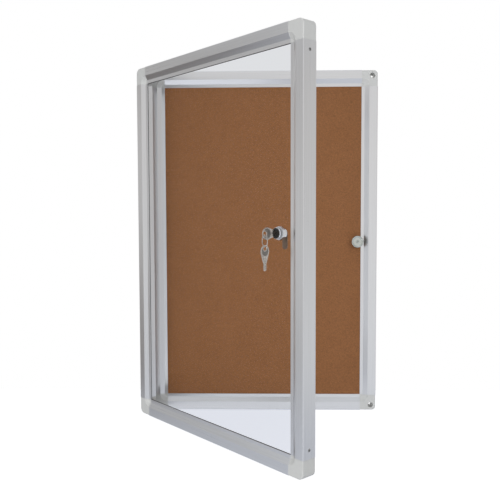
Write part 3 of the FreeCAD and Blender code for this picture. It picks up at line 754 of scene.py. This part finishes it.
def add_lock_body():
    """Parts that stay with the door: face, rim, threaded barrel, washers and nut."""
    seat = PANE_FRONT - WASHER
    face_rear = BEZEL_FRONT + FACE_DEPTH
    face = turned(rounded([(BEZEL_BORE, BEZEL_FRONT + 0.15, 0.1),
                           (FACE_RADIUS, BEZEL_FRONT, 0.35),
                           (FACE_RADIUS, face_rear, 0), (BEZEL_BORE, face_rear, 0)]),
                  RING_STEPS, True)
    piece("lock_face_ring", face, LOCK, "door", "lock_black", "lock_barrel")
    rim = turned(rounded([(BEZEL_BORE, face_rear + 0.02, 0), (FACE_RADIUS + 0.05, RIM_FRONT, 0.1),
                          (BEZEL_RADIUS, RIM_FRONT, 0.25), (BEZEL_RADIUS, seat, 0.3),
                          (BEZEL_BORE, seat, 0)]), RING_STEPS, True)
    piece("lock_rim", rim, LOCK, "door", "lock_chrome", "lock_barrel")
    piece("lock_threaded_barrel", threaded(seat, BARREL_REAR), LOCK, "door", "lock_chrome",
          "lock_barrel")
    for name, radius, start in (("lock_front_washer", FRONT_WASHER_RADIUS, seat),
                                ("lock_rear_washer", REAR_WASHER_RADIUS, PANE_REAR)):
        ring = turned(rounded([(WASHER_BORE, start, 0.1), (radius, start, 0.25),
                               (radius, start + WASHER, 0.25),
                               (WASHER_BORE, start + WASHER, 0.1)]), RING_STEPS, True)
        piece(name + "_ring", ring, LOCK, "door", "washer_rubber", name)

    radius = NUT_ACROSS_FLATS / math.sqrt(3)
    front = PANE_REAR + WASHER
    rear = front + NUT_THICKNESS
    corners = [(radius * math.sin(t), radius * math.cos(t)) for t in turns(6)]
    prism = bridged([[(0, front, 0)], [(x, front, z) for x, z in corners],
                     [(x, rear, z) for x, z in corners], [(0, rear, 0)]])
    # The corners of both faces fall back, and the bore widens to both mouths.
    outside = turned([(0, front), (NUT_FACE, front), (NUT_SHOULDER, front + 0.25),
                      (radius + 0.1, front + 1.35), (radius + 0.1, rear - 1.35),
                      (NUT_SHOULDER, rear - 0.25), (NUT_FACE, rear), (0, rear)], NUT_STEPS)
    bore = turned([(0, front - 1), (NUT_MOUTH, front - 1), (NUT_MOUTH, front),
                   (NUT_BORE, front + 0.8), (NUT_BORE, rear - 0.8), (NUT_MOUTH, rear),
                   (NUT_MOUTH, rear + 1), (0, rear + 1)], NUT_STEPS)
    nut = carved(carved(prism, [outside], "INTERSECT"), [bore])
    piece("lock_nut_chamfered", nut, LOCK, "door", "lock_chrome", "lock_nut")


def add_lock_plug():
    """Parts that turn with the key: plug with its keyway, tail, cam and screw."""
    keyway = bmesh.new()
    bmesh.ops.create_cube(keyway, size=1.0)
    moved(keyway, Matrix.Translation((0, 11.5, 0))
          @ Matrix.Diagonal((KEYWAY_WIDTH, 19, KEYWAY_HEIGHT, 1)))
    head = turned([(0, BEZEL_FRONT + 0.1), (5.0, BEZEL_FRONT + 0.1), (7.0, BEZEL_FRONT + 0.25),
                   (PLUG_HEAD_RADIUS, BEZEL_FRONT + 0.6), (PLUG_HEAD_RADIUS, PLUG_HEAD_REAR),
                   (0, PLUG_HEAD_REAR)])
    piece("lock_plug_face", carved(head, [keyway.copy()]), LOCK, "lock", "lock_black",
          "lock_plug")
    tail_front = BARREL_REAR + PLUG_GAP
    core_front = PLUG_HEAD_REAR + 0.02
    core = turned([(0, core_front), (PLUG_RADIUS, core_front), (PLUG_RADIUS, tail_front),
                   (0, tail_front)])
    piece("lock_plug_core", carved(core, [keyway]), LOCK, "lock", "lock_chrome", "lock_plug")
    flat = turn_about("X", 90)
    sides = (-PLUG_TAIL, PLUG_TAIL)
    tail = plate([rectangle(sides, sides, 0.6)], CAM_REAR - tail_front, 0.1)
    piece("lock_plug_tail", tail, LOCK @ shifted(0, (CAM_REAR + tail_front) / 2, 0) @ flat,
          "lock", "lock_chrome", "lock_plug")

    half = CAM_WIDTH / 2
    sides = (-CAM_SOCKET, CAM_SOCKET)
    cam = plate([rectangle((-half, half), (half, -CAM_LENGTH), half, 12),
                 rectangle(sides, sides, 0.5)], CAM_REAR - CAM_FRONT, 0.3)
    piece("lock_cam_arm", cam, LOCK @ shifted(0, (CAM_FRONT + CAM_REAR) / 2, 0) @ flat,
          "lock", "cam_steel", "lock_cam")
    piece("cam_screw_pan_head", pan_head(*CAM_SCREW), LOCK @ shifted(0, CAM_REAR, 0), "lock",
          "screw_steel", "cam_screw")


def add_keys():
    """Two cut keys and the split ring that joins them."""
    shape, dull_painted_shade_floors = key_shape(), key_dull_painted_shade_floors()
    hole_y = KEY_SHOULDER - KEY_BOW_LENGTH + KEY_HOLE_INSET
    inserted = LOCK @ shifted(0, KEY_SHOULDER, 0)
    hanging = (LOCK @ shifted(0, hole_y, SPARE_Z - LOCK_Z) @ turn_about("Z", SPARE_TURN)
               @ turn_about("X", -90) @ shifted(0, KEY_BOW_LENGTH - KEY_HOLE_INSET, 0))
    for body, place in (("key", inserted), ("spare_key", hanging)):
        piece(body + "_cut", shape, place, body, "key_nickel", body)
        # The fields' floors: rougher as a duller finish, darker as painted shade.
        piece(body + "_dull_painted_shade_floors", dull_painted_shade_floors, place, body, "key_nickel", body, by_slot["key_field"])
    place = (LOCK @ shifted(0, hole_y, RING_Z - LOCK_Z) @ turn_about("Z", RING_TURN)
             @ turn_about("Y", RING_SPLIT_TURN))
    piece("split_ring", split_ring(), place, "key_ring", "ring_steel", "key_ring")


def add_keeper():
    """Chrome keeper with a rolled rim and a dished face, and the screw in its middle."""
    rear = DOOR_FRONT + CAM_FRONT - KEEPER_CAM_GAP
    front = rear - KEEPER_HEAD
    floor = front + KEEPER_DISH
    mouth, sink = 4.15, 2.1
    body = turned(rounded([(mouth - sink, floor + sink, 0), (mouth, floor, 0.15),
                           (11.4, floor, 1.2), (13.6, front, 0.9), (15.2, front, 0.9),
                           (KEEPER_RADIUS, rear, 0.35), (KEEPER_STEM, rear, 0.4),
                           (KEEPER_STEM, KEEPER_REAR, 0), (mouth - sink, KEEPER_REAR, 0)]),
                  NUT_STEPS, True)
    piece("keeper_dished", body, shifted(KEEPER_X, 0, KEEPER_Z), "frame", "keeper_chrome",
          "keeper")
    place = shifted(KEEPER_X, floor + 0.1, KEEPER_Z) @ turn_about("Y", KEEPER_SCREW_TURN)
    piece("keeper_screw_cross", countersunk(*KEEPER_SCREW), place, "frame", "screw_steel",
          "keeper_screw", by_slot["keeper_chrome"])


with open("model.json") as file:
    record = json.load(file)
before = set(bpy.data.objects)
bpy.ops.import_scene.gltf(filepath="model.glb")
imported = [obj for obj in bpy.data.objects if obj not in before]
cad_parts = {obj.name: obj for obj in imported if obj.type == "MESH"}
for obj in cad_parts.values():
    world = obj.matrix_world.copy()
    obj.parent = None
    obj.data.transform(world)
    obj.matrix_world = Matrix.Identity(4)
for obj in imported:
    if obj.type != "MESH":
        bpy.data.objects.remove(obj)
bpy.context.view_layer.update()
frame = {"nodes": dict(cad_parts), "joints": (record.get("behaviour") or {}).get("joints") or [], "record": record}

door_joint = next(j for j in frame["joints"] if j["name"] == "door_hinge")
door_angle = math.radians(-door_joint["range_deg"][0])
DOOR = (shifted(HINGE_X, HINGE_Y, 0) @ Matrix.Rotation(-door_angle, 4, "Z")
        @ shifted(-HINGE_X, -HINGE_Y, 0))
LOCK = DOOR @ shifted(LOCK_X, DOOR_FRONT, LOCK_Z)

upright_metal = extruded("aluminium_upright", ALONG_Z)
level_metal = extruded("aluminium_level", ALONG_X)
door_level_metal = extruded("aluminium_door_level", ALONG_X, door_angle)
# Plain finishes: colour, metallic, roughness, then grain, spread and depth where they differ.
by_slot = {
    "corner_moulding": plain("corner_plastic", (0.64, 0.645, 0.63), 0.0, 0.42, 1500.0, 0.03),
    "glazing_gasket": plain("gasket_rubber", (0.035, 0.035, 0.037), 0.0, 0.6),
    "hinge_steel": plain("hinge_steel", (0.60, 0.60, 0.59), 1.0, 0.30),
    "screw_steel": plain("screw_zinc", (0.40, 0.40, 0.39), 1.0, 0.30),
    "cork": cork_material(),
    "fibreboard": plain("fibreboard", (0.40, 0.28, 0.17), 0.0, 0.85, 600.0, 0.18, 0.0001),
    "keeper_chrome": plain("keeper_chrome", (0.50, 0.52, 0.49), 1.0, 0.20),
    "pane_glass": pane_material(),
    "lock_black": plain("lock_black", (0.018, 0.017, 0.015), 0.3, 0.28),
    "washer_rubber": plain("washer_rubber", (0.50, 0.51, 0.52), 0.0, 0.35),
    "lock_chrome": plain("lock_chrome", (0.74, 0.75, 0.77), 1.0, 0.07, 1200.0, 0.03),
    "cam_steel": plain("cam_steel", (0.20, 0.145, 0.11), 1.0, 0.42),
    "key_nickel": plain("key_nickel", (0.53, 0.49, 0.44), 1.0, 0.26),
    # Floors of the keys' sunk fields: rougher as a duller finish, darker as painted shade.
    "key_field": plain("key_field", (0.26, 0.24, 0.215), 1.0, 0.45),
    "ring_steel": plain("ring_steel", (0.60, 0.57, 0.53), 1.0, 0.20),
}
for part in frame["record"]["subparts"]:
    name, slot = part["node"], part["material_slot"]
    if slot != "anodised_aluminium":
        material = by_slot[slot]
    elif name.endswith("_stile"):
        material = upright_metal
    else:
        material = door_level_metal if name.startswith("door") else level_metal
    paint(frame["nodes"][name], material)

for name, obj in frame["nodes"].items():
    if name.startswith(("frame_", "door_", "hinge_", "lock_stop")):
        soften(obj, CORNER_EDGE if "corner" in name else METAL_EDGE)
    elif name.startswith("gasket"):
        soften(obj, GASKET_EDGE)
add_screws()
add_lock_body()
add_lock_plug()
add_keys()
add_keeper()

add_world()
add_floor()
add_lamps()
add_camera()
bpy.context.scene.view_settings.view_transform = "Standard"
